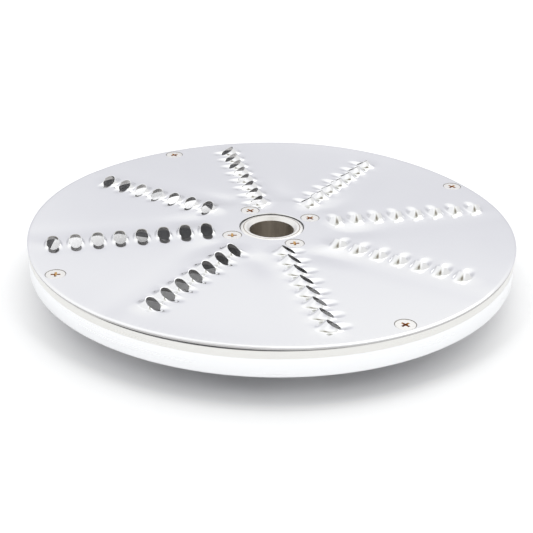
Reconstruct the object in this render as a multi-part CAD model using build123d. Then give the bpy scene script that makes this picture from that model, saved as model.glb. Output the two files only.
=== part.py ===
from build123d import *
import math
import os

# Grating disc for a vegetable cutter: a stainless plate with formed teeth, screwed to a cast aluminium
# wheel that carries a steel bush for the drive shaft. The origin is the centre of the hub's underside,
# on which the disc stands, +Z runs up along the bore, and all sizes are in millimetres and degrees.

# Driving dimensions: plate
plate_diameter = 205.0
plate_thickness = 1.2
plate_hole_clearance = 0.5

# Driving dimensions: grater teeth
row_count = 8
row_angle = 14.0
row_steps = (1, 2, 0, 3)
row_hub_margin = 2.65
row_edge_margin = 5.8
tooth_lip_width = 5.7
tooth_lip_length = 7.4
tooth_lip_tilt = 32.0
tooth_lip_height = 1.4
tooth_lip_lead = 0.7
tooth_skirt = 1.0
tooth_land = 1.4
tooth_front_run = 3.1
tooth_back_run = 4.2
tooth_foot_sides = 6
tooth_lip_sides = 10

# Driving dimensions: carrier
rim_depth = 10.8
rim_width = 7.1
rim_inset = 0.2
rib_width = 4.8
rib_gusset = 4.0
hub_screw_wall = 4.3
hub_foot_height = 10.0

# Driving dimensions: bush
bore_diameter = 19.0
bush_wall = 3.8
bush_clearance = 0.02
bush_top_drop = 0.3
lead_in_chamfer = 1.3
drive_slot_width = 6.0
drive_slot_depth = 5.0

# Driving dimensions: screws
screw_angle = 30.0
screws_per_circle = 4
outer_screw_margin = 5.8
inner_screw_margin = 5.3
screw_diameter = 4.0
screw_length = 10.0
screw_head_diameter = 7.8
screw_head_drop = 0.12
screw_clearance = 0.05

# Heights and radii that follow from them
rim_bottom = hub_foot_height
carrier_top = rim_bottom + rim_depth
plate_top = carrier_top + plate_thickness
plate_radius = plate_diameter / 2
bore_radius = bore_diameter / 2
bush_radius = bore_radius + bush_wall
bush_seat_radius = bush_radius + bush_clearance
plate_hole_radius = bush_radius + plate_hole_clearance
rim_radius = plate_radius - rim_inset
rim_inner_radius = rim_radius - rim_width
outer_screw_radius = plate_radius - outer_screw_margin
inner_screw_radius = plate_hole_radius + inner_screw_margin
hub_radius = inner_screw_radius + hub_screw_wall
row_start_radius = hub_radius + row_hub_margin
screw_radius = screw_diameter / 2
screw_head_radius = screw_head_diameter / 2
screw_head_depth = plate_thickness - screw_head_drop
screw_head_slope = (screw_head_radius - screw_radius) / screw_head_depth
tooth_half_width = tooth_lip_width / 2 + tooth_skirt
tooth_pitch = 2 * tooth_half_width + tooth_land


def polar_places(radius, start_angle, count):
    """Equally spaced places on a circle, each turned so that its X points outwards."""
    return [Rot(0, 0, start_angle + 360 / count * k) * Pos(radius, 0, 0) for k in range(count)]


def screw_places():
    """Centres of the screw heads in the plane of the plate's top."""
    circles = (inner_screw_radius, outer_screw_radius)
    flat = [place for r in circles for place in polar_places(r, screw_angle, screws_per_circle)]
    return [Pos(0, 0, plate_top) * place for place in flat]


def tooth_places():
    """Tooth centres row by row. The rows start at different steps of a pitch, so that together they graze
    the whole width of the food."""
    places = []
    outer_limit = plate_radius - row_edge_margin - tooth_half_width
    for row in range(row_count):
        start = row_start_radius + row_steps[row % len(row_steps)] * tooth_pitch / len(row_steps)
        teeth = int((outer_limit - start) / tooth_pitch) + 1
        spin = Rot(0, 0, row_angle + 360 / row_count * row)
        places += [spin * Pos(start + k * tooth_pitch, 0, plate_top) for k in range(teeth)]
    return places


def tooth_outlines():
    """Foot of a tooth in the plate's top face and the lip of its opening, an oval tilted so that its back
    stands above the plate and its front dips below. Both start at the front, go round clockwise and are
    drawn with short flats, to keep the many teeth light."""
    tilt = math.radians(tooth_lip_tilt)
    lip_reach = tooth_lip_length / 2 * math.cos(tilt)
    lip_drop = tooth_lip_length / 2 * math.sin(tilt)
    foot_reach = lip_reach + (tooth_front_run + tooth_back_run) / 2
    foot_centre = tooth_lip_lead + (tooth_front_run - tooth_back_run) / 2
    foot, lip = [], []
    for k in range(tooth_foot_sides):
        a = 2 * math.pi * k / tooth_foot_sides
        foot.append(Vector(tooth_half_width * math.sin(a), foot_centre + foot_reach * math.cos(a), 0))
    for k in range(tooth_lip_sides):
        a = 2 * math.pi * k / tooth_lip_sides
        ahead = tooth_lip_lead + lip_reach * math.cos(a)
        lip.append(Vector(tooth_lip_width / 2 * math.sin(a), ahead, tooth_lip_height - lip_drop * math.cos(a)))
    return foot, lip


def skin_facets(foot, lip):
    """Flat facets between two outlines: each stands on a side of one, with its tip at the nearest corner
    of the other."""
    facets = []
    i, j = 0, 0
    while i < len(foot) or j < len(lip):
        base = [foot[i % len(foot)], lip[j % len(lip)]]
        if (i + 0.5) / len(foot) < (j + 0.5) / len(lip):
            i += 1
            tip = foot[i % len(foot)]
        else:
            j += 1
            tip = lip[j % len(lip)]
        facets.append(Face(Wire.make_polygon(base + [tip])))
    return facets


def make_tooth():
    """Facets of one formed tooth: upper skin and under skin, which meet at the sharp lip."""
    foot, lip = tooth_outlines()
    under_foot = [point - Vector(0, 0, plate_thickness) for point in foot]
    return skin_facets(foot, lip) + skin_facets(under_foot, lip)


def screw_way():
    """Countersink and tapped hole for one screw, its mouth in the plane of the plate's top."""
    hole_radius = screw_radius + screw_clearance
    mouth_radius = hole_radius + plate_thickness * screw_head_slope
    downwards = (Align.CENTER, Align.CENTER, Align.MAX)
    mouth = Cone(hole_radius, mouth_radius, plate_thickness, align=downwards)
    hole = Cylinder(hole_radius, screw_head_drop + screw_length + screw_clearance, align=downwards)
    return mouth + hole


def make_plate():
    """One formed sheet: two flat faces, open at the foot of each tooth, the rim's wall and the facets of
    the teeth, sewn to a solid that the hub's hole and the screws' ways are then cut from."""
    places = tooth_places()
    foot = Wire.make_polygon(tooth_outlines()[0])
    rim = Pos(0, 0, plate_top) * Wire.make_circle(plate_radius)
    top = Face(rim, [place * foot for place in places])
    disc = Pos(0, 0, plate_top - plate_thickness / 2) * Cylinder(plate_radius, plate_thickness)
    flats = [top, Pos(0, 0, -plate_thickness) * top] + disc.faces().filter_by(GeomType.CYLINDER)
    tooth = make_tooth()
    teeth = [place * facet for place in places for facet in tooth]
    sheet = Solid(Shell(flats + teeth))
    hole = Pos(0, 0, plate_top) * Cylinder(plate_hole_radius, 4 * plate_thickness)
    return sheet - hole - [place * screw_way() for place in screw_places()]


def carrier_profile():
    """Half section of the turned blank, from the bush seat out to the rim."""
    return Polyline(
        (bush_seat_radius, 0),
        (hub_radius, 0),
        (hub_radius, rim_bottom),
        (rim_radius, rim_bottom),
        (rim_radius, carrier_top),
        (bush_seat_radius, carrier_top),
        close=True,
    )


def carrier_windows():
    """Openings between the ribs, with a gusset in each corner where a rib runs into the rim."""
    rib = Rectangle(plate_diameter, rib_width, align=(Align.MIN, Align.CENTER))
    ribs = [Rot(0, 0, screw_angle + 360 / row_count * k) * rib for k in range(row_count)]
    flat = Circle(rim_inner_radius) - Circle(hub_radius) - ribs
    rim_corners = flat.vertices().group_by(lambda corner: round(math.hypot(corner.X, corner.Y)))[-1]
    return extrude(Pos(0, 0, rim_bottom) * chamfer(rim_corners, rib_gusset), rim_depth)


def make_carrier():
    """Cast wheel: rim, ribs and hub, with the bush seat and the tapped holes under the screws."""
    blank = revolve(make_face(Plane.XZ * carrier_profile()), Axis.Z)
    return blank - carrier_windows() - [place * screw_way() for place in screw_places()]


def make_bush():
    """Turned bush: lead-in chamfer, bore, and a slot for the shaft's drive pin."""
    top = plate_top - bush_top_drop
    half = Polyline(
        (bore_radius, 0),
        (bush_radius, 0),
        (bush_radius, top),
        (bore_radius + lead_in_chamfer, top),
        (bore_radius, top - lead_in_chamfer),
        close=True,
    )
    turned = revolve(make_face(Plane.XZ * half), Axis.Z)
    upwards = (Align.CENTER, Align.CENTER, Align.MIN)
    slot = Box(4 * bush_radius, drive_slot_width, drive_slot_depth, align=upwards)
    return turned - Rot(0, 0, screw_angle) * slot


def make_screw():
    """Plain countersunk screw, its head as deep as the plate and its top a little below the plate's."""
    half = Polyline(
        (0, 0),
        (screw_head_radius, 0),
        (screw_radius, -screw_head_depth),
        (screw_radius, -screw_length),
        (0, -screw_length),
        close=True,
    )
    return Pos(0, 0, -screw_head_drop) * revolve(make_face(Plane.XZ * half), Axis.Z)


os.makedirs("parts", exist_ok=True)
screw = make_screw()
nodes = {
    "grating_plate": make_plate(),
    "carrier": make_carrier(),
    "hub_bush": make_bush(),
    "plate_screws": Compound([place * screw for place in screw_places()]),
}
for name, solid in nodes.items():
    export_step(solid, f"parts/{name}.step")
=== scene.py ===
import math

import bmesh
import bpy
import numpy as np
from mathutils import Matrix, Vector
from mathutils.geometry import delaunay_2d_cdt


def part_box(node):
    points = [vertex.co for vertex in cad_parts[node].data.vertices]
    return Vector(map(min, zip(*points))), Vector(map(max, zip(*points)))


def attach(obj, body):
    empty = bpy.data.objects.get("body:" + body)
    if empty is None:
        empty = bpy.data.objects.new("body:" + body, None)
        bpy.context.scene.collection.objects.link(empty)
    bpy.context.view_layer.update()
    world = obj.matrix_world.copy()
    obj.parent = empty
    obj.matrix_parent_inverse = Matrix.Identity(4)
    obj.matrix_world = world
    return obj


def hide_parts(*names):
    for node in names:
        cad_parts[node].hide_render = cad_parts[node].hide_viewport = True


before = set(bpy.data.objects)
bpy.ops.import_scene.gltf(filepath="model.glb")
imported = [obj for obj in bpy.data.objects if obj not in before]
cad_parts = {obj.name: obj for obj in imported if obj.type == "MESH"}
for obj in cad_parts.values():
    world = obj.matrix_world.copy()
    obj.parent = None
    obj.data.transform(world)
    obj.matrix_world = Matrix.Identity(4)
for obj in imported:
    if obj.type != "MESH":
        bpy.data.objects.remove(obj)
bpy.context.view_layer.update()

# Grating disc on a plain white table. Shapes are worked out in millimetres, in the frame of the CAD model,
# and put into meshes in metres.
MM = 0.001

# Sizes read from the frame
carrier_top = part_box("carrier")[1].z / MM
rim_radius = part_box("carrier")[1].x / MM
plate_radius = min(abs(side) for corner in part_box("grating_plate") for side in corner.xy) / MM
bush_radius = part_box("hub_bush")[1].x / MM
bush_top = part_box("hub_bush")[1].z / MM
screw_low, screw_high = (corner.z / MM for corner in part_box("plate_screws"))

# Plate
plate_thickness = 1.2
plate_top = carrier_top + plate_thickness
web_thickness = 0.55
plate_edge_round = 0.3
plate_crown_radius = 4.2
plate_crown_tilt = 15.0
plate_foot_round = 0.15
plate_hole_clearance = 0.5
plate_hole_radius = bush_radius + plate_hole_clearance
plate_lift = 0.77
plate_lift_angle = 75.0
plate_lift_power = 6.0
web_spacing = 3.0

# Swell of the sheet along the rows
swell_height = 0.45
swell_radius = 32.0
swell_reach = 11.0
swell_rest = 0.15
swell_middle = -8.0
swell_width = 8.5
swell_half_wave = 14.0
swell_hub_fade = (23.7, 30.0)

# Rows of teeth
row_count = 8
row_angle = 14.0
row_start = 26.05
row_steps = (1, 2, 0, 3)
row_teeth = (8, 7, 8, 7)
tooth_pitch = 9.1
lip_half_width = 2.54
lip_half_length = 3.22
lip_tilt = 32.0
lip_height = 1.09
lip_lead = 0.68
lip_thickness = 0.25
foot_half_width = 4.0
foot_front = 8.6
foot_back = 7.0
under_foot_half_width = 4.3
under_foot_back = 7.5
back_squareness = 2.2
front_flare = 0.25
back_flare = 0.8
tooth_columns = 48
tooth_rows = 12

# Carrier
rim_bottom = 10.0
rim_band_height = 3.1
rim_band_step = 0.1
rim_edge_round = 0.6
rim_inner_radius = 95.2
rib_half_width = 2.4
rib_angle = 30.0
rim_corner_radius = 5.0
hub_corner_radius = 2.0
hub_radius = 23.7
hub_foot_radius = 23.1
hub_foot_round = 0.9
seat_clearance = 0.02
seat_radius = bush_radius + seat_clearance

# Bush
bore_radius = 9.5
bush_bevel_width = 0.9
bush_bevel_depth = 0.35
bush_line_radius = 12.0
bush_line_half_width = 0.17
bush_line_depth = 0.3
lead_in = 1.3
slot_half_width = 3.0
slot_depth = 5.0
slot_columns = 13
wall_columns = 49

# Screws
screw_angle = 30.0
screw_circles = (19.1, 96.7)
screws_per_circle = 4
screw_head_radius = 3.9
screw_head_edge = 0.12
screw_shank_radius = 2.0
screw_head_depth = 1.08
screw_tip_chamfer = 0.5
sink_radius = 4.16
sink_hole_radius = 2.05
recess_half_span = 1.9
recess_half_width = 0.48
recess_depth = 1.3
recess_taper = 0.5
recess_turns = (44, 38, 2, 5, 46, 40, 4, 42)

# Finishes of the patches of a piece: 0 is its main finish and 1 its other one
# On the sheet the other finish is duller steel painted darker as shade: under the web, at its cut edge,
# inside the teeth, and most in the cones round the screw heads
under_dull_and_shade = 0.4
cut_dull_and_shade = 0.65
inside_dull_and_shade = 0.75
sink_painted_shade = 1.0
upper_band_finish = 0.5
lower_band_finish = 1.0
# On the bush the other finish is the bore's darker brown, and in the turned line on the top it is painted
# shade in the groove
bore_tone_and_groove_shade = 1.0
recess_finish = 1.0

# Meshes: columns round the turned shapes, how near points are sewn, and the least angle of a sharp edge
rim_columns = 360
hub_columns = 96
sink_columns = 32
notch_columns = 9
sew_gap = 0.002
sharp_angle = 25.0

# Studio: brightness by elevation in degrees, cool near the horizon and warm near the zenith
sky_levels = ((0, 0.6), (10, 0.7), (20.5, 0.8), (24.5, 0.845), (27, 0.95), (29.5, 0.985), (33, 1.06),
              (40, 1.15), (54, 1.15), (63, 0.98), (72, 0.8), (90, 0.68))
sky_strength = 1.15
sky_tints = ((24, 0.045), (30, 0.0), (55, 0.0), (70, -0.07))

# Studio: the side walls and the dark stand of the camera. Each has a direction, the angles from it at which
# its colour is full and at which it ends, and the colour
left_wall = ((-1.0, 0.0, 0.45), 20.0, 50.0, (1.0, 1.0, 1.0))
right_wall = ((1.0, 0.0, 0.45), 20.0, 50.0, (0.88, 0.875, 0.86))
camera_stand = ((0.0, -0.2, 0.98), 3.0, 18.0, (0.3, 0.27, 0.22))

# Table: where it glows to the camera and in the metal. Each pair of distances runs from no glow to full
# glow: depths are along Y, and radii from the axis of the disc
back_glow_radius = (45.0, 90.0)
back_glow_depth = (-100.0, 140.0)
back_glow_end_radius = (103.0, 95.0)
side_glow_front_depth = (-100.0, -25.0)
side_glow_back_depth = (80.0, 25.0)
side_glow_radius = (60.0, 85.0)
side_glow = 0.2
hub_glow_radius = (80.0, 50.0)
hub_glow = 0.11
open_glow_radius = (101.0, 112.0)
open_glow = 0.2
table_reach = 4000.0

# Soft lamp above and behind the disc, to its right, with its power in watts
lamp_place = (500.0, 600.0, 1200.0)
lamp_size = 1000.0
lamp_power = 2.0

# Camera: its place from the middle of the plate's top, the directions that are right and down in its
# picture, and the photograph's focal length and width in pixels
camera_place = (-1.965, -434.055, 196.231)
picture_right = (0.99987, 0.00719, 0.01449)
picture_down = (0.01617, -0.44458, -0.89559)
photo_focus = 1115.86
photo_width = 533.0
sensor_width = 36.0


def ring(radius, count, height=0.0):
    """Points round a circle, counter-clockwise from X."""
    angle = np.linspace(0, 2 * np.pi, count, endpoint=False)
    return np.stack([radius * np.cos(angle), radius * np.sin(angle), np.full(count, height)], axis=-1)


def turned(profile, count):
    """Grid of a profile of (radius, height) points carried round Z: one row for each of its points."""
    return np.stack([ring(radius, count, height) for radius, height in profile])


def round_corner(centre, radius, start, end, steps=5):
    """Points of a (radius, height) profile round an arc, from one angle to another."""
    angles = np.radians(np.linspace(start, end, steps))
    radii = centre[0] + radius * np.cos(angles)
    heights = centre[1] + radius * np.sin(angles)
    return list(zip(radii, heights))


def turn(points, degrees):
    """Points turned about Z."""
    cosine, sine = math.cos(math.radians(degrees)), math.sin(math.radians(degrees))
    return points @ np.array([[cosine, sine, 0], [-sine, cosine, 0], [0, 0, 1]])


def smooth_step(value, low, high):
    """0 below one value, 1 above another, and between them 3 share^2 - 2 share^3 of the way."""
    share = np.clip((value - low) / (high - low), 0, 1)
    return share * share * (3 - 2 * share)


class Patchwork:
    """Collects grids and triangles of one piece, each with a finish, and sews them where points meet."""

    def __init__(self):
        self.points, self.faces, self.finishes, self.count = [], [], [], 0

    def add(self, points, faces, finish=0.0):
        """Points and faces that count from the first of them."""
        points = np.asarray(points, float).reshape(-1, 3)
        self.points.append(points)
        self.faces += (np.asarray(faces) + self.count).tolist()
        self.finishes += [finish] * len(faces)
        self.count += len(points)

    def add_grid(self, grid, flip=False, finish=0.0):
        """A grid of rows that close on themselves. Seen with the columns running to the right and the rows
        running up, its faces look at the viewer unless flipped."""
        rows, columns = grid.shape[:2]
        here = np.arange(rows * columns).reshape(rows, columns)
        beside = np.roll(here, -1, axis=1)
        quads = np.stack([here[:-1], beside[:-1], beside[1:], here[1:]], axis=-1).reshape(-1, 4)
        self.add(grid, quads[:, ::-1] if flip else quads, finish)

    def sew(self, name, material, node):
        """The sewn mesh as an object that stands for a node of the frame."""
        mesh = bpy.data.meshes.new(name)
        mesh.from_pydata((np.concatenate(self.points) * MM).tolist(), [], self.faces)
        mesh.attributes.new("finish", "FLOAT", "FACE").data.foreach_set("value", self.finishes)
        sewn = bmesh.new()
        sewn.from_mesh(mesh)
        bmesh.ops.remove_doubles(sewn, verts=sewn.verts, dist=sew_gap * MM)
        sewn.to_mesh(mesh)
        sewn.free()
        mesh.shade_smooth()
        mesh.set_sharp_from_angle(angle=math.radians(sharp_angle))
        mesh.materials.append(material)
        piece = bpy.data.objects.new(name, mesh)
        bpy.context.scene.collection.objects.link(piece)
        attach(piece, "root")
        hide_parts(node)


def triangulate(outer, holes, scatter):
    """Triangles of the flat area inside one loop and outside some holes, with scattered points between.
    Returns the plan points, loop after loop, and the triangles."""
    loops = [outer, *holes]
    plan = np.concatenate([*loops, scatter])[:, :2]
    sizes = [len(loop) for loop in loops]
    owner = np.repeat(np.arange(len(loops) + 1), sizes + [len(scatter)])
    edges = []
    for start, size in zip(np.cumsum([0] + sizes), sizes):
        index = np.arange(size)
        edges.append(start + np.stack([index, np.roll(index, -1)], axis=1))
    to_convex_hull, tolerance = 0, 1e-7
    found = delaunay_2d_cdt(plan.tolist(), np.concatenate(edges).tolist(), [], to_convex_hull, tolerance)
    source = np.array([ids[0] for ids in found[3]])
    triangles = source[np.array(found[2])]
    first, second, third = owner[triangles].T
    in_hole = (first == second) & (second == third) & (first > 0) & (first < len(loops))
    triangles = triangles[~in_hole]
    corners = plan[triangles]
    one_side, other_side = corners[:, 1] - corners[:, 0], corners[:, 2] - corners[:, 0]
    area = one_side[:, 0] * other_side[:, 1] - one_side[:, 1] * other_side[:, 0]
    triangles[area < 0] = triangles[area < 0][:, ::-1]
    return plan, triangles


def screw_places():
    """Plan places of the screws: an inner and an outer circle."""
    return np.concatenate([turn(ring(radius, screws_per_circle), screw_angle) for radius in screw_circles])


def plate_rise(x, y):
    """How far the sheet stands off its flat shape. Its edge lifts between the outer screws, as a cosine wave
    round the disc that grows with a power of the radius. Along each row it swells: just behind the teeth it
    stands higher and further back lower, as one swing of a sine under a bell, most of it near the hub."""
    radius, angle = np.hypot(x, y), np.arctan2(y, x)
    wave = 0.5 + 0.5 * np.cos(screws_per_circle * (angle - math.radians(plate_lift_angle)))
    rise = plate_lift * (radius / plate_radius) ** plate_lift_power * wave
    for row in np.radians(row_angle + 360 / row_count * np.arange(row_count)):
        along = x * np.cos(row) + y * np.sin(row)
        behind = y * np.cos(row) - x * np.sin(row) - swell_middle
        size = swell_rest + np.exp(-((along - swell_radius) / swell_reach) ** 2)
        swing = np.exp(-(behind / swell_width) ** 2) * np.sin(np.pi * behind / swell_half_wave)
        rise = rise + swell_height * size * swing * smooth_step(along, *swell_hub_fade)
    return rise


def on_sheet(points):
    """Points given from the flat sheet's top face, moved to where the sheet is."""
    height = plate_top + plate_rise(points[..., 0], points[..., 1])
    return points + np.stack([0 * height, 0 * height, height], axis=-1)


def tooth_skins():
    """Upper and under skin of one tooth about its centre, X along its row and Y the way its opening faces.
    Round the opening runs an angle from its front, and outwards a share from 0 at the lip to 1 at the foot.
    The lip is an oval tilted about X, and the foot is an oval in the plate, both elliptic in front and
    squarer at the back, where the powers of the sine and cosine are 2 / squareness. The plan of a skin is a
    straight blend of both. Its height is the lip's times (1 - share)^2 / (1 - (1 - flare) share), which ends
    flush with the plate. The under skin runs in the same way to a larger foot, lower by the web's
    thickness."""
    angle = np.linspace(0, 2 * np.pi, tooth_columns, endpoint=False)[None, :]
    share = np.linspace(0, 1, tooth_rows + 1)[:, None]
    tilt = math.radians(lip_tilt)
    back = 0.5 - 0.5 * np.cos(angle)
    flare = front_flare + (back_flare - front_flare) * back
    fall = (1 - share) ** 2 / (1 - (1 - flare) * share)
    power = np.where(np.cos(angle) < 0, 2 / back_squareness, 1.0)
    across = np.sign(np.sin(angle)) * np.abs(np.sin(angle)) ** power
    ahead = np.sign(np.cos(angle)) * np.abs(np.cos(angle)) ** power

    def skin(grow, drop, half_width, back_reach, foot_drop):
        """One skin, from the lip grown outwards and dropped to a foot of a given width, reach and drop."""
        length = (lip_half_length + grow) * ahead
        lip_x = (lip_half_width + grow) * across
        lip_y = lip_lead + length * math.cos(tilt)
        lip_z = lip_height - length * math.sin(tilt) - drop
        lip = np.stack([lip_x, lip_y, lip_z], axis=-1)
        foot_y = (foot_front - back_reach) / 2 + (foot_front + back_reach) / 2 * ahead
        foot = np.stack([half_width * across, foot_y, 0 * angle], axis=-1)
        points = lip + (foot - lip) * share[..., None]
        points[..., 2] = (lip_z + foot_drop) * fall - foot_drop
        return points

    lip_grow, lip_drop = lip_thickness * back, lip_thickness * (1 - back)
    upper = skin(lip_grow, 0 * angle, foot_half_width, foot_back, 0.0)
    under = skin(0 * angle, lip_drop, under_foot_half_width, under_foot_back, web_thickness)
    return upper, under


def tooth_places():
    """Angle and radius of every tooth, row by row; the rows start at different steps of a pitch."""
    places = []
    for row in range(row_count):
        kind = row % len(row_steps)
        start = row_start + row_steps[kind] * tooth_pitch / len(row_steps)
        angle = row_angle + 360 / row_count * row
        places += [(angle, start + k * tooth_pitch) for k in range(row_teeth[kind])]
    return np.array(places)


def spread(skin, places):
    """One skin copied to all places: moved out along X, then turned about Z."""
    angle = np.radians(places[:, 0])[:, None, None]
    out = places[:, 1][:, None, None] + skin[None, ..., 0]
    side = np.broadcast_to(skin[None, ..., 1], out.shape)
    height = np.broadcast_to(skin[None, ..., 2], out.shape)
    x = out * np.cos(angle) - side * np.sin(angle)
    y = out * np.sin(angle) + side * np.cos(angle)
    return np.stack([x, y, height], axis=-1)


def sheet_scatter(feet, sinks):
    """Points on rings between hub and edge, left out where a tooth or a screw is."""
    radii = np.arange(plate_hole_radius + web_spacing, plate_radius - web_spacing / 2, web_spacing)
    points = np.concatenate([ring(radius, int(2 * np.pi * radius / web_spacing)) for radius in radii])
    loops = [*feet, *sinks]
    centres = np.array([loop.mean(axis=0) for loop in loops])
    spans = np.array([np.linalg.norm(loop - loop.mean(axis=0), axis=1).max() for loop in loops])
    gaps = np.linalg.norm(points[:, None] - centres[None], axis=-1)
    return points[(gaps > spans + web_spacing / 4).all(axis=1)]


def sheet_face(outer, hub, feet, sinks, height):
    """One face of the sheet's web, open at the hub, the feet of the teeth and the screws."""
    loops = [loop * (1, 1, 0) for loop in (hub, *feet, *sinks)]
    count = len(feet) + 1
    plan, triangles = triangulate(outer, loops, sheet_scatter(loops[1:count], loops[count:]))
    return np.column_stack([plan, np.full(len(plan), height)]), triangles


def sink_rings():
    """Mouths and feet of the cones at the screws, in the top and the under face of the web."""
    slope = (sink_radius - sink_hole_radius) / plate_thickness
    foot_radius = sink_radius - slope * web_thickness
    mouths = screw_places()[:, None] + ring(sink_radius, sink_columns)
    feet = screw_places()[:, None] + ring(foot_radius, sink_columns, -web_thickness)
    return mouths, feet


def hole_profile():
    """Edge of the sheet at the hub's hole, from the web's under face up to its top."""
    flat_radius = plate_hole_radius + plate_foot_round
    profile = [(flat_radius, -web_thickness), (plate_hole_radius, plate_foot_round - web_thickness)]
    return profile + [(plate_hole_radius, -plate_foot_round), (flat_radius, 0)]


def edge_profiles():
    """Outer edge of the sheet in two: a shallow crown that falls off from flat and ends in a tight round
    corner, then the cut below it, which runs in to the web's under face."""
    angle = 90 - plate_crown_tilt
    slope = math.cos(math.radians(angle))
    centre_gap = plate_crown_radius - plate_edge_round
    flat_radius = plate_radius - plate_edge_round - centre_gap * slope
    crown = round_corner((flat_radius, -plate_crown_radius), plate_crown_radius, 90, angle)
    corner_drop = centre_gap * math.sin(math.radians(angle)) - plate_crown_radius
    corner = round_corner((plate_radius - plate_edge_round, corner_drop), plate_edge_round, angle, 0)
    foot_centre = (plate_radius - plate_foot_round, plate_foot_round - plate_thickness)
    cut = [corner[-1], *round_corner(foot_centre, plate_foot_round, 0, -90, steps=3)]
    cut += [(flat_radius, -plate_thickness), (flat_radius, -web_thickness)]
    return [*crown, *corner[1:]], cut


def make_plate(material):
    """Formed sheet: a web with a top and an under face, joined to the teeth's skins at their feet, with a
    rounded rim, the hub's hole and a cone at each screw. The under face, the rim's cut and the inside of the
    teeth are less polished and painted darker as shade, and the cones are not polished and painted dark as
    the shade round the screw heads."""
    upper, under = (spread(skin, tooth_places()) for skin in tooth_skins())
    mouths, feet = sink_rings()
    edge, cut = edge_profiles()
    hole = hole_profile()
    outer, hub = ring(edge[0][0], rim_columns), ring(hole[0][0], hub_columns)
    top, top_triangles = sheet_face(outer, hub, upper[:, -1], mouths, 0)
    bottom, bottom_triangles = sheet_face(outer, hub, under[:, -1], feet, -web_thickness)
    work = Patchwork()
    work.add(on_sheet(top), top_triangles)
    # The under face, the cut and the insides of the teeth take the dull colour, which is painted shade as
    # well as a duller finish
    work.add(on_sheet(bottom), bottom_triangles[:, ::-1], finish=under_dull_and_shade)
    work.add_grid(on_sheet(turned(edge, rim_columns)), flip=True)
    work.add_grid(on_sheet(turned(cut, rim_columns)), flip=True, finish=cut_dull_and_shade)
    work.add_grid(on_sheet(turned(hole, hub_columns)), flip=True)
    for skin, under_skin in zip(upper, under):
        work.add_grid(on_sheet(skin))
        work.add_grid(on_sheet(under_skin), flip=True, finish=inside_dull_and_shade)
        work.add_grid(on_sheet(np.stack([under_skin[0], skin[0]])))
    for mouth, foot in zip(mouths, feet):
        # The cones take the dark colour in full, as painted shade round the screw heads
        work.add_grid(on_sheet(np.stack([foot, mouth])), flip=True, finish=sink_painted_shade)
    work.sew("formed_grating_plate", material, "grating_plate")


def arc(centre, radius, start, end, steps):
    """Plan points round an arc, from one angle to another."""
    angle = np.linspace(start, end, steps)
    return centre + radius * np.stack([np.cos(angle), np.sin(angle)], axis=-1)


def window_loop(middle):
    """Outline of one opening between two ribs. Half of it runs from the middle of the hub's side along a
    small round corner, the rib, a larger round corner and the rim; the other half is its mirror image."""
    half_turn = math.pi / row_count
    rib = np.array([math.cos(half_turn), math.sin(half_turn)])
    side = np.array([math.sin(half_turn), -math.cos(half_turn)])
    outer_side = rib_half_width + rim_corner_radius
    inner_side = rib_half_width + hub_corner_radius
    outer_reach = math.sqrt((rim_inner_radius - rim_corner_radius) ** 2 - outer_side ** 2)
    inner_reach = math.sqrt((hub_radius + hub_corner_radius) ** 2 - inner_side ** 2)
    outer = rib * outer_reach + side * outer_side
    inner = rib * inner_reach + side * inner_side
    to_rib = math.atan2(-side[1], -side[0])
    outwards = math.atan2(outer[1], outer[0])
    inwards = math.atan2(inner[1], inner[0])
    half = np.concatenate([
        arc(np.zeros(2), hub_radius, 0, inwards, steps=6)[:-1],
        arc(inner, hub_corner_radius, inwards + math.pi, to_rib, steps=8),
        arc(outer, rim_corner_radius, to_rib, outwards, steps=10),
        arc(np.zeros(2), rim_inner_radius, outwards, 0, steps=12)[1:],
    ])
    mirror = half[1:-1][::-1] * (1, -1)
    loop = np.concatenate([half, mirror])
    flat = np.column_stack([loop, np.zeros(len(loop))])
    return turn(flat[::-1], middle)


def carrier_profiles():
    """Turned sides of the wheel: the upper and the lower band of its rim, and its hub, which runs down the
    outside, round the foot and up the bush's seat."""
    band_radius = rim_radius - rim_band_step
    band_bottom = carrier_top - rim_band_height
    upper = [(band_radius - rim_band_step, carrier_top), (band_radius, carrier_top - rim_band_step)]
    upper += [(band_radius, band_bottom)]
    edge_centre = (rim_radius - rim_edge_round, rim_bottom + rim_edge_round)
    lower = [(band_radius, band_bottom), (rim_radius, band_bottom - rim_band_step)]
    lower += round_corner(edge_centre, rim_edge_round, 0, -90, steps=6)
    foot_centre = (hub_foot_radius - hub_foot_round, hub_foot_round)
    hub = [(hub_foot_radius, rim_bottom), *round_corner(foot_centre, hub_foot_round, 0, -90)]
    hub += [(seat_radius, 0), (seat_radius, carrier_top)]
    return upper, lower, hub


def make_carrier(material):
    """Cast wheel: a turned rim in two bands, flat faces with an opening between each two ribs, and a hub
    that stands lower than the rim and holds the bush."""
    upper, lower, hub = carrier_profiles()
    middles = rib_angle + 360 / row_count * (np.arange(row_count) + 0.5)
    windows = [window_loop(middle) for middle in middles]
    top_holes = [ring(seat_radius, hub_columns), *windows]
    bottom_holes = [ring(hub_foot_radius, hub_columns), *windows]
    no_scatter = np.zeros((0, 3))
    work = Patchwork()
    plan, triangles = triangulate(ring(upper[0][0], rim_columns), top_holes, no_scatter)
    work.add(np.column_stack([plan, np.full(len(plan), carrier_top)]), triangles)
    plan, triangles = triangulate(ring(lower[-1][0], rim_columns), bottom_holes, no_scatter)
    work.add(np.column_stack([plan, np.full(len(plan), rim_bottom)]), triangles[:, ::-1])
    work.add_grid(turned(upper, rim_columns), flip=True, finish=upper_band_finish)
    work.add_grid(turned(lower, rim_columns), flip=True, finish=lower_band_finish)
    work.add_grid(turned(hub, hub_columns), flip=True)
    for loop in windows:
        work.add_grid(np.stack([loop + (0, 0, rim_bottom), loop + (0, 0, carrier_top)]))
    work.sew("cast_carrier", material, "carrier")


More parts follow.
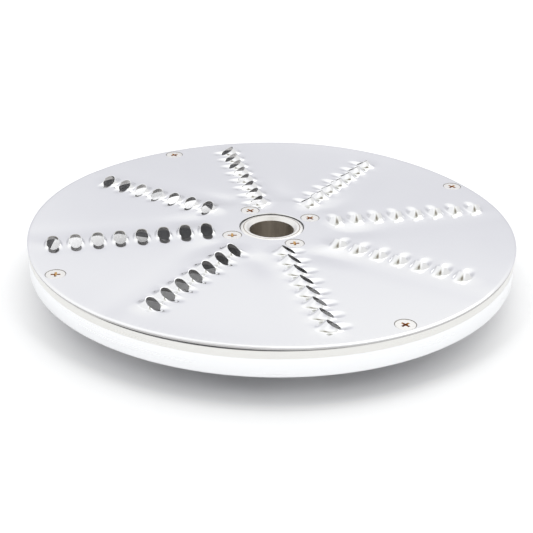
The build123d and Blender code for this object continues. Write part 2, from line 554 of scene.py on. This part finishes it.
def bush_grid(profile):
    """A profile of (radius, height) points carried round Z, its lower end cut by the drive slot. The columns
    bunch at the slot's sides, which stay parallel: at radius r a side is at the angle asin(half width / r).
    In the slot's columns no point lies below the slot's roof."""
    radius, height = np.array(profile).T[..., None]
    side = np.arcsin(slot_half_width / radius)
    across = side * np.linspace(-1, 1, slot_columns)
    along = side + (np.pi - 2 * side) * np.linspace(0, 1, wall_columns)
    half = np.concatenate([across, along], axis=1)
    angle = np.concatenate([half, half + np.pi], axis=1) + math.radians(screw_angle)
    in_slot = np.tile(np.repeat([True, False], [slot_columns, wall_columns]), 2)
    level = np.where(in_slot, np.maximum(height, slot_depth), height)
    return np.stack([radius * np.cos(angle), radius * np.sin(angle), level], axis=-1)


def make_bush(material):
    """Turned bush: bore, lead-in chamfer, flat top with a fine turned line, bevel and outside."""
    line_start = bush_line_radius - bush_line_half_width
    line_end = bush_line_radius + bush_line_half_width
    line = [(line_start, bush_top), (bush_line_radius, bush_top - bush_line_depth), (line_end, bush_top)]
    bore = [(bore_radius, 0), (bore_radius, slot_depth), (bore_radius, bush_top - lead_in)]
    head = [bore[-1], (bore_radius + lead_in, bush_top), line[0]]
    edge = [line[-1], (bush_radius - bush_bevel_width, bush_top), (bush_radius, bush_top - bush_bevel_depth)]
    outside = [*edge, (bush_radius, slot_depth), (bush_radius, 0), (bore_radius, 0)]
    work = Patchwork()
    work.add_grid(bush_grid(bore), finish=bore_tone_and_groove_shade)
    work.add_grid(bush_grid(head))
    # The turned line takes the bore's darker colour as painted shade in its groove
    work.add_grid(bush_grid(line), finish=bore_tone_and_groove_shade)
    work.add_grid(bush_grid(outside))
    work.sew("turned_hub_bush", material, "hub_bush")


def cross_radius(angle):
    """Distance from the middle to the outline of a cross, at an angle: the further of its two bars, each of
    which ends at its half length or at its half width, whichever comes first."""
    least = 1e-6
    across = np.maximum(np.abs(np.cos(angle)), least)
    along = np.maximum(np.abs(np.sin(angle)), least)
    lying = np.minimum(recess_half_span / across, recess_half_width / along)
    standing = np.minimum(recess_half_span / along, recess_half_width / across)
    return np.maximum(lying, standing)


def screw_grid():
    """Half section carried round Z, from the middle of the recess's floor to the tip. The recess is a cross
    that narrows to its floor, and the columns meet its corners."""
    corner = math.atan2(recess_half_width, recess_half_span)
    notch = np.linspace(corner, math.pi / 2 - corner, notch_columns)
    quarter = np.append(0.0, notch)
    angle = np.concatenate([quarter + math.pi / 2 * k for k in range(4)])
    mouth, one = cross_radius(angle), np.ones_like(angle)
    length = screw_high - screw_low
    rows = [(0 * one, -recess_depth), (recess_taper * mouth, -recess_depth), (mouth, 0)]
    outside = [(screw_head_radius - screw_head_edge, 0), (screw_head_radius, -screw_head_edge)]
    outside += [(screw_shank_radius, -screw_head_depth), (screw_shank_radius, screw_tip_chamfer - length)]
    outside += [(screw_shank_radius - screw_tip_chamfer, -length), (0, -length)]
    rows += [(radius * one, height) for radius, height in outside]
    plan = np.stack([np.cos(angle), np.sin(angle)], axis=-1)
    return np.stack([np.column_stack([plan * radius[:, None], height * one]) for radius, height in rows])


def make_screws(material):
    """Countersunk screws with a cross recess, each turned as it was driven home."""
    grid = screw_grid()
    work = Patchwork()
    for place, spin in zip(screw_places(), recess_turns):
        screw = turn(grid, spin) + place + (0, 0, screw_high)
        work.add_grid(screw[:3], flip=True, finish=recess_finish)
        work.add_grid(screw[2:], flip=True)
    work.sew("plate_screws_cross", material, "plate_screws")


def new_material(name, colour, metallic, roughness):
    """A material with its main shader, which later nodes refine."""
    material = bpy.data.materials.new(name)
    material.use_nodes = True
    nodes, links = material.node_tree.nodes, material.node_tree.links
    shader = nodes["Principled BSDF"]
    shader.inputs["Base Color"].default_value = (*colour, 1)
    shader.inputs["Metallic"].default_value = metallic
    shader.inputs["Roughness"].default_value = roughness
    return material, nodes, links, shader


def pattern(nodes, links, scale, stretch=(1, 1, 1), detail=4.0):
    """Noise on Object coordinates, stretched along an axis by a small factor there."""
    where = nodes.new("ShaderNodeTexCoord")
    mapping = nodes.new("ShaderNodeMapping")
    mapping.inputs["Scale"].default_value = stretch
    noise = nodes.new("ShaderNodeTexNoise")
    noise.inputs["Scale"].default_value = scale
    noise.inputs["Detail"].default_value = detail
    links.new(where.outputs["Object"], mapping.inputs["Vector"])
    links.new(mapping.outputs["Vector"], noise.inputs["Vector"])
    return noise.outputs["Fac"]


def fade(nodes, links, value, low, high, top=1.0):
    """A smooth step from 0 at one value to the top at another."""
    node = nodes.new("ShaderNodeMapRange")
    node.interpolation_type = "SMOOTHSTEP"
    node.inputs["From Min"].default_value = low
    node.inputs["From Max"].default_value = high
    node.inputs["To Max"].default_value = top
    links.new(value, node.inputs["Value"])
    return node.outputs["Result"]


def combine(nodes, links, operation, value, *others):
    """Values joined one after another by a product, maximum or the like."""
    for other in others:
        node = nodes.new("ShaderNodeMath")
        node.operation = operation
        links.new(value, node.inputs[0])
        links.new(other, node.inputs[1])
        value = node.outputs["Value"]
    return value


def blend(nodes, links, value, first, second):
    """Two colours mixed by a value. Each is the output of another node, three numbers, or one for a grey."""
    node = nodes.new("ShaderNodeMix")
    node.data_type = "RGBA"
    links.new(value, node.inputs["Factor"])
    for name, colour in (("A", first), ("B", second)):
        if isinstance(colour, float):
            node.inputs[name].default_value = (colour, colour, colour, 1)
        elif isinstance(colour, tuple):
            node.inputs[name].default_value = (*colour, 1)
        else:
            links.new(colour, node.inputs[name])
    return node.outputs["Result"]


def finish_mark(nodes):
    """The finish that each patch of the piece was given."""
    mark = nodes.new("ShaderNodeAttribute")
    mark.attribute_name = "finish"
    return mark.outputs["Fac"]


def polished_steel():
    """Polished stainless sheet: a cool mirror with faint haze, duller where it isn't polished and painted
    darker there as shade.
    """
    plain = (0.88, 0.885, 0.9)
    material, nodes, links, shader = new_material("polished_sheet", plain, metallic=1.0, roughness=0.12)
    # The finish marks the less polished patches, which are rougher and painted darker as shade
    dull = finish_mark(nodes)
    haze = pattern(nodes, links, scale=60.0)
    tint = blend(nodes, links, haze, (0.87, 0.875, 0.892), (0.89, 0.895, 0.908))
    # Colour of the less polished patches: duller steel, painted darker as shade
    mill_and_shade = blend(nodes, links, haze, (0.27, 0.255, 0.24), (0.36, 0.345, 0.33))
    links.new(blend(nodes, links, dull, tint, mill_and_shade), shader.inputs["Base Color"])
    rough = blend(nodes, links, haze, 0.08, 0.13)
    mill_rough = 0.45
    links.new(blend(nodes, links, dull, rough, mill_rough), shader.inputs["Roughness"])
    return material


def cast_aluminium():
    """Aluminium wheel: dull as cast inside, bright turned lines on the rim, and a warmer upper band."""
    plain = (0.9, 0.9, 0.89)
    material, nodes, links, shader = new_material("turned_aluminium", plain, metallic=1.0, roughness=0.4)
    mark = finish_mark(nodes)
    turned_face = fade(nodes, links, mark, low=0.1, high=0.4)
    lower_band = fade(nodes, links, mark, low=0.6, high=0.9)
    lines = pattern(nodes, links, scale=900.0, stretch=(0.02, 0.02, 1.0), detail=2.0)
    grain = pattern(nodes, links, scale=700.0)
    cast = blend(nodes, links, grain, (0.34, 0.34, 0.35), (0.46, 0.46, 0.47))
    warm = blend(nodes, links, lines, (0.77, 0.762, 0.735), (0.82, 0.812, 0.785))
    bright = blend(nodes, links, lines, (0.93, 0.938, 0.95), (0.96, 0.968, 0.98))
    face = blend(nodes, links, lower_band, warm, bright)
    links.new(blend(nodes, links, turned_face, cast, face), shader.inputs["Base Color"])
    rough = blend(nodes, links, lines, 0.24, 0.34)
    cast_rough = 0.7
    links.new(blend(nodes, links, turned_face, cast_rough, rough), shader.inputs["Roughness"])
    links.new(turned_face, shader.inputs["Metallic"])
    bump = nodes.new("ShaderNodeBump")
    bump.inputs["Strength"].default_value = 0.15
    bump.inputs["Distance"].default_value = 0.0003
    links.new(grain, bump.inputs["Height"])
    links.new(bump.outputs["Normal"], shader.inputs["Normal"])
    return material


def turned_steel():
    """Turned steel: a bright head, and a darker brown bore with upright streaks, whose colour also paints
    the shade in the turned line on the head.
    """
    plain = (0.88, 0.87, 0.85)
    material, nodes, links, shader = new_material("streaked_steel", plain, metallic=1.0, roughness=0.2)
    streaks = pattern(nodes, links, scale=700.0, stretch=(1.0, 1.0, 0.03), detail=3.0)
    head = blend(nodes, links, streaks, (0.86, 0.85, 0.83), (0.9, 0.89, 0.87))
    bore = blend(nodes, links, streaks, (0.42, 0.385, 0.34), (0.78, 0.73, 0.66))
    links.new(blend(nodes, links, finish_mark(nodes), head, bore), shader.inputs["Base Color"])
    links.new(blend(nodes, links, streaks, 0.32, 0.46), shader.inputs["Roughness"])
    return material


def screw_steel():
    """Plated screws: off-white heads, and a darker amber in the recess."""
    plain = (0.9, 0.885, 0.85)
    material, nodes, links, shader = new_material("plated_steel", plain, metallic=1.0, roughness=0.25)
    spots = pattern(nodes, links, scale=900.0)
    head = blend(nodes, links, spots, (0.88, 0.865, 0.83), (0.93, 0.92, 0.9))
    amber = blend(nodes, links, spots, (0.42, 0.23, 0.08), (0.68, 0.45, 0.2))
    links.new(blend(nodes, links, finish_mark(nodes), head, amber), shader.inputs["Base Color"])
    links.new(blend(nodes, links, spots, 0.18, 0.34), shader.inputs["Roughness"])
    return material


def table_glow(nodes, links):
    """Where the table glows: under the disc's back edge, as a table lit from behind does, and a little
    outside the disc's shadow, beside the disc and under the openings near the hub."""
    where = nodes.new("ShaderNodeTexCoord").outputs["Object"]
    away = nodes.new("ShaderNodeVectorMath")
    away.operation = "LENGTH"
    links.new(where, away.inputs[0])
    split = nodes.new("ShaderNodeSeparateXYZ")
    links.new(where, split.inputs["Vector"])
    radius, depth = away.outputs["Value"], split.outputs["Y"]

    def rise(distance, ends, top=1.0):
        """A fade between two distances in millimetres."""
        return fade(nodes, links, distance, ends[0] * MM, ends[1] * MM, top)

    back = [rise(depth, back_glow_depth), rise(radius, back_glow_radius), rise(radius, back_glow_end_radius)]
    side = [rise(depth, side_glow_front_depth, side_glow), rise(depth, side_glow_back_depth)]
    side += [rise(radius, side_glow_radius)]
    glows = [combine(nodes, links, "MULTIPLY", *parts) for parts in (back, side)]
    glows += [rise(radius, open_glow_radius, open_glow), rise(radius, hub_glow_radius, hub_glow)]
    return combine(nodes, links, "MAXIMUM", *glows)


def white_table():
    """Plain white table that glows in places, to the camera and in the metal only."""
    plain = (0.94, 0.94, 0.94)
    material, nodes, links, shader = new_material("white_table", plain, metallic=0.0, roughness=0.6)
    grain = pattern(nodes, links, scale=40.0)
    white = blend(nodes, links, grain, (0.92, 0.928, 0.945), (0.94, 0.948, 0.965))
    links.new(white, shader.inputs["Base Color"])
    shader.inputs["Specular IOR Level"].default_value = 0.0
    shader.inputs["Emission Color"].default_value = (1, 1, 1, 1)
    path = nodes.new("ShaderNodeLightPath")
    rays = [path.outputs[name] for name in ("Is Camera Ray", "Is Glossy Ray", "Is Transmission Ray")]
    seen = combine(nodes, links, "MAXIMUM", *rays)
    glow = combine(nodes, links, "MULTIPLY", table_glow(nodes, links), seen)
    links.new(glow, shader.inputs["Emission Strength"])
    return material


def make_table():
    """A wide flat sheet under the hub."""
    mesh = bpy.data.meshes.new("table")
    reach = table_reach * MM
    corners = [(-reach, -reach, 0), (reach, -reach, 0), (reach, reach, 0), (-reach, reach, 0)]
    mesh.from_pydata(corners, [], [(0, 1, 2, 3)])
    mesh.materials.append(white_table())
    table = bpy.data.objects.new("table", mesh)
    bpy.context.scene.collection.objects.link(table)


def sky_colour(elevation, level):
    """Brightness as a colour, its blue tinted by the elevation, as a share of the sky's strength."""
    blue = level * (1 + np.interp(elevation, *zip(*sky_tints)))
    return level / sky_strength, level / sky_strength, blue / sky_strength


def plain_sky(nodes, links, way):
    """Colour of the sky by the elevation of a direction."""
    split = nodes.new("ShaderNodeSeparateXYZ")
    links.new(way, split.inputs["Vector"])
    ramp = nodes.new("ShaderNodeValToRGB")
    stops = ramp.color_ramp.elements
    heights = [math.sin(math.radians(elevation)) for elevation, _ in sky_levels]
    for height in heights[1:-1]:
        stops.new(height)
    for stop, height, (elevation, level) in zip(stops, heights, sky_levels):
        stop.position = height
        stop.color = (*sky_colour(elevation, level), 1)
    links.new(split.outputs["Z"], ramp.inputs["Fac"])
    return ramp.outputs["Color"]


def make_world():
    """Studio surroundings by direction: a sky that changes with the elevation, plain walls at the sides, and
    the dark stand of the camera overhead."""
    world = bpy.data.worlds.new("studio")
    bpy.context.scene.world = world
    world.use_nodes = True
    nodes, links = world.node_tree.nodes, world.node_tree.links
    way = nodes.new("ShaderNodeTexCoord").outputs["Generated"]
    sky = plain_sky(nodes, links, way)
    for direction, inner, outer, colour in (left_wall, right_wall, camera_stand):
        towards = nodes.new("ShaderNodeVectorMath")
        towards.operation = "DOT_PRODUCT"
        towards.inputs[1].default_value = Vector(direction).normalized()
        links.new(way, towards.inputs[0])
        limits = (math.cos(math.radians(angle)) for angle in (outer, inner))
        share = fade(nodes, links, towards.outputs["Value"], *limits)
        sky = blend(nodes, links, share, sky, tuple(level / sky_strength for level in colour))
    background = nodes["Background"]
    background.inputs["Strength"].default_value = sky_strength
    links.new(sky, background.inputs["Color"])


def make_lamp():
    """A square soft lamp that looks at the origin."""
    lamp = bpy.data.lights.new("soft box", "AREA")
    lamp.shape = "SQUARE"
    lamp.size = lamp_size * MM
    lamp.energy = lamp_power
    holder = bpy.data.objects.new("soft box", lamp)
    place = Vector([side * MM for side in lamp_place])
    holder.location = place
    holder.rotation_euler = (-place).to_track_quat("-Z", "Y").to_euler()
    bpy.context.scene.collection.objects.link(holder)


def make_camera():
    """Camera at the photograph's place, found by fitting the plate's edge, the screws and the bore."""
    camera = bpy.data.cameras.new("camera")
    camera.sensor_width = sensor_width
    camera.lens = sensor_width * photo_focus / photo_width
    camera.clip_start = 0.01
    camera.clip_end = 50.0
    holder = bpy.data.objects.new("camera", camera)
    right, down = Vector(picture_right), Vector(picture_down)
    back = right.cross(-down)
    turn_matrix = Matrix((right, -down, back)).transposed().to_4x4()
    x, y, height = camera_place
    place = Vector((x, y, height + plate_top)) * MM
    holder.matrix_world = Matrix.Translation(place) @ turn_matrix
    bpy.context.scene.collection.objects.link(holder)
    bpy.context.scene.camera = holder


make_plate(polished_steel())
make_carrier(cast_aluminium())
make_bush(turned_steel())
make_screws(screw_steel())
make_table()
make_world()
make_lamp()
make_camera()
bpy.context.scene.view_settings.view_transform = "Standard"
